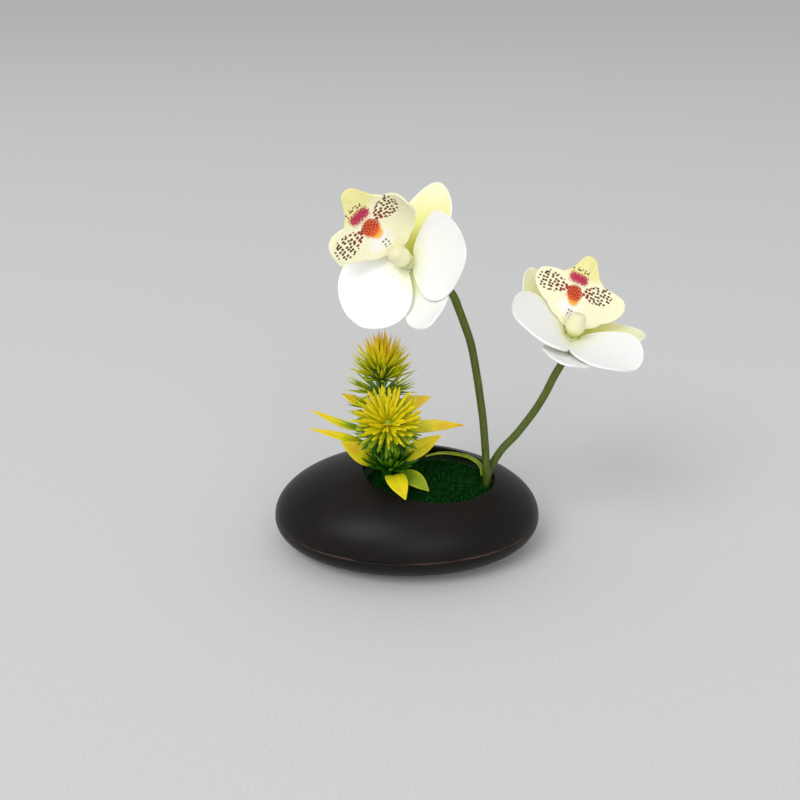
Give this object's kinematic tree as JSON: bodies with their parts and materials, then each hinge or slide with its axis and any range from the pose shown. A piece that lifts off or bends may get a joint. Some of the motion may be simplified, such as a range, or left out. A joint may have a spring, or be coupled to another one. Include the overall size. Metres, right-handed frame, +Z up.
{
  "type": "artificial orchid arrangement in a pebble pot",
  "caption": "Artificial orchid arrangement: white and yellow spotted orchids on wired stems with a spiky foliage pick, standing in moss in a low oval pebble-shaped pot.",
  "frame": {"origin": "middle of the pot's flat base, on the surface it stands on", "axes": "+Z up, +X along the pot's long axis towards the side that the flower stems stand on, -Y towards the front that the flowers face"},
  "size_m": [0.192, 0.104, 0.1919],
  "materials": {
    "pot_plastic": "satin",
    "plaster": "matte",
    "foam": "matte",
    "moss_flock": "matte",
    "stem_plastic": "satin",
    "steel_wire": "satin",
    "petal_white": "satin",
    "sepal_yellow": "satin",
    "lip_print": "satin",
    "column_cream": "satin",
    "calyx_green": "satin",
    "needle_yellow": "satin",
    "needle_green": "gloss",
    "leaf_yellow": "satin"
  },
  "bodies": {
    "root": {"pot_upper_shell": "pot_plastic", "pot_lower_shell": "pot_plastic", "plaster_weight": "plaster", "foam_block": "foam", "moss_mat": "moss_flock", "grass_blade": "leaf_yellow", "orchid_a_dorsal_sepal": "petal_white", "orchid_a_sepal_left": "sepal_yellow", "orchid_a_sepal_right": "sepal_yellow", "orchid_a_petal_left": "petal_white", "orchid_a_petal_right": "petal_white", "orchid_a_lip": "lip_print", "orchid_a_column": "column_cream", "orchid_a_calyx": "calyx_green", "orchid_a_stem": "stem_plastic", "orchid_a_stem_wire": "steel_wire", "orchid_b_dorsal_sepal": "petal_white", "orchid_b_sepal_left": "sepal_yellow", "orchid_b_sepal_right": "sepal_yellow", "orchid_b_petal_left": "petal_white", "orchid_b_petal_right": "petal_white", "orchid_b_lip": "lip_print", "orchid_b_column": "column_cream", "orchid_b_calyx": "calyx_green", "orchid_b_stem": "stem_plastic", "orchid_b_stem_wire": "steel_wire", "foliage_stem_back": "needle_green", "foliage_stem_front": "needle_green", "leaf_1": "leaf_yellow", "leaf_2": "leaf_yellow", "leaf_3": "leaf_yellow", "leaf_4": "leaf_yellow", "leaf_5": "leaf_yellow", "leaf_6": "leaf_yellow", "leaf_7": "leaf_yellow", "leaf_8": "leaf_yellow", "leaf_9": "leaf_yellow", "needles_crown": "needle_yellow", "needles_upper": "needle_yellow", "needles_middle": "needle_yellow", "needles_lower": "needle_yellow", "needles_foot": "needle_yellow", "straps_front": "needle_yellow", "straps_under": "needle_yellow", "straps_cup": "needle_green"}
  },
  "joints": []
}
